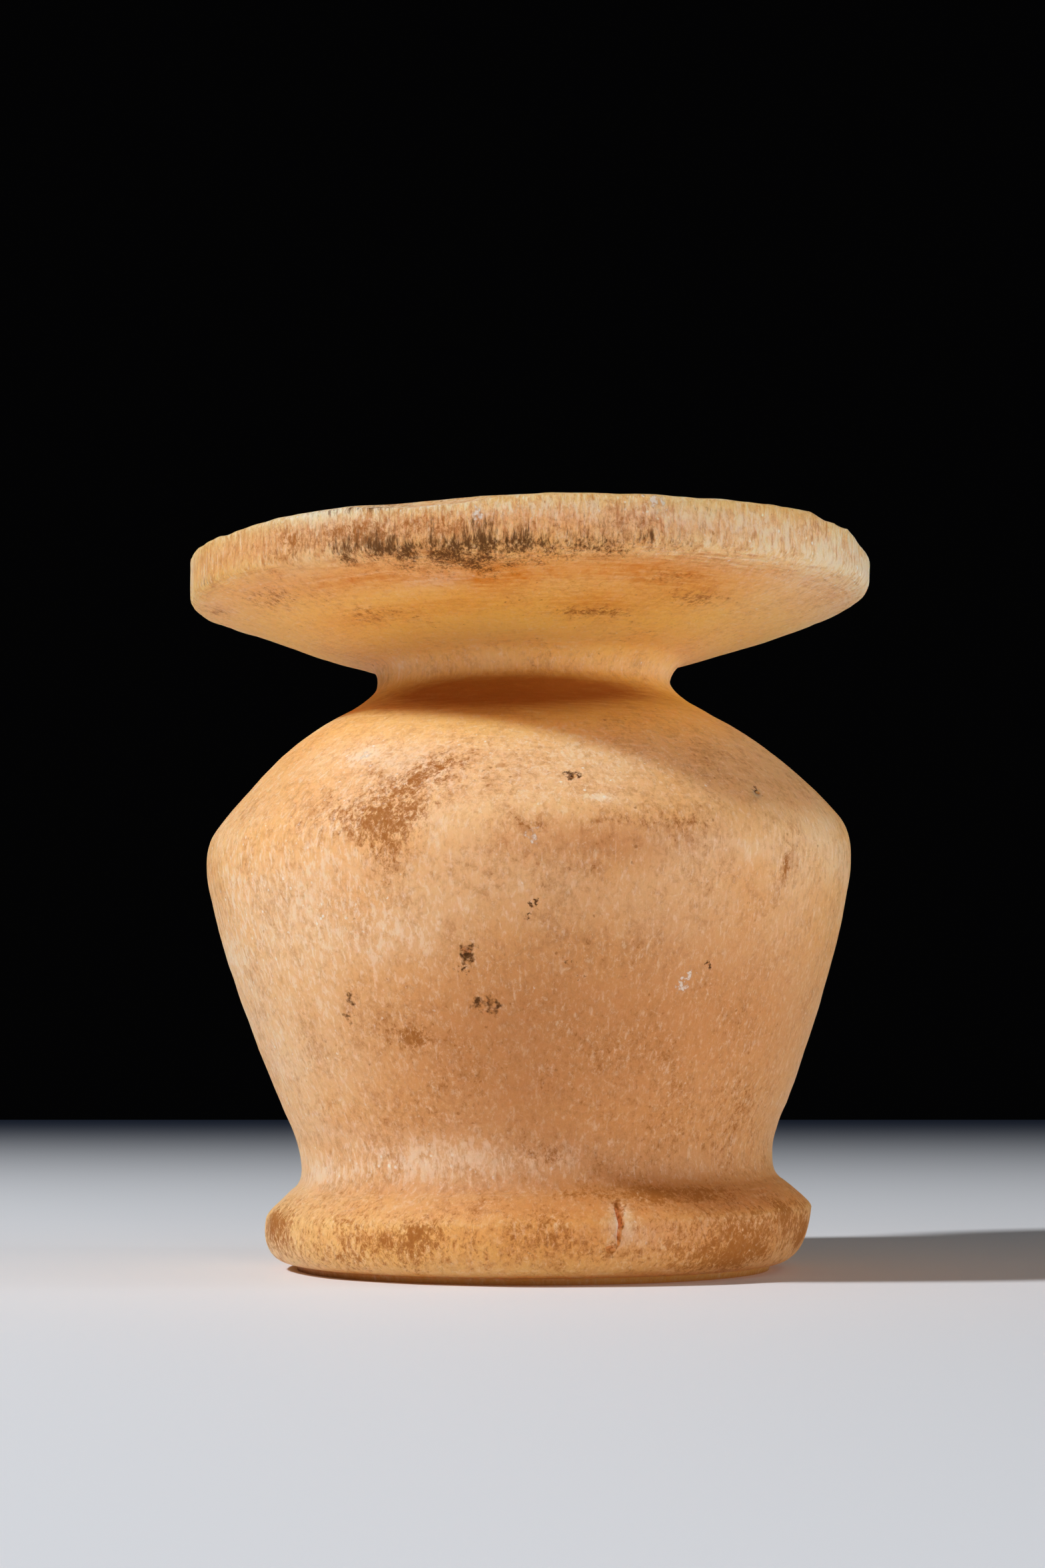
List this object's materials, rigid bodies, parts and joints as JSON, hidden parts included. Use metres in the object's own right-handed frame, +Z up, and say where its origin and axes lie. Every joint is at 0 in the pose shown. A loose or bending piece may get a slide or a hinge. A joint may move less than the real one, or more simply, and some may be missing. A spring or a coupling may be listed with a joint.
{
  "type": "kohl pot",
  "caption": "Small squat stone cosmetic pot with a broad flat rim, narrow neck, high shoulder, tapering body and low disc foot, drilled hollow.",
  "frame": {"origin": "on the surface that the pot stands on, under the middle of the rim", "axes": "+Z up along the pot's axis, towards the mouth; -Y is the side the picture shows; +X to the right in the picture"},
  "size_m": [0.0482, 0.0482, 0.0507],
  "materials": {
    "calcite": "satin, translucent, worn"
  },
  "bodies": {
    "root": {"kohl_pot": "calcite"}
  },
  "joints": []
}
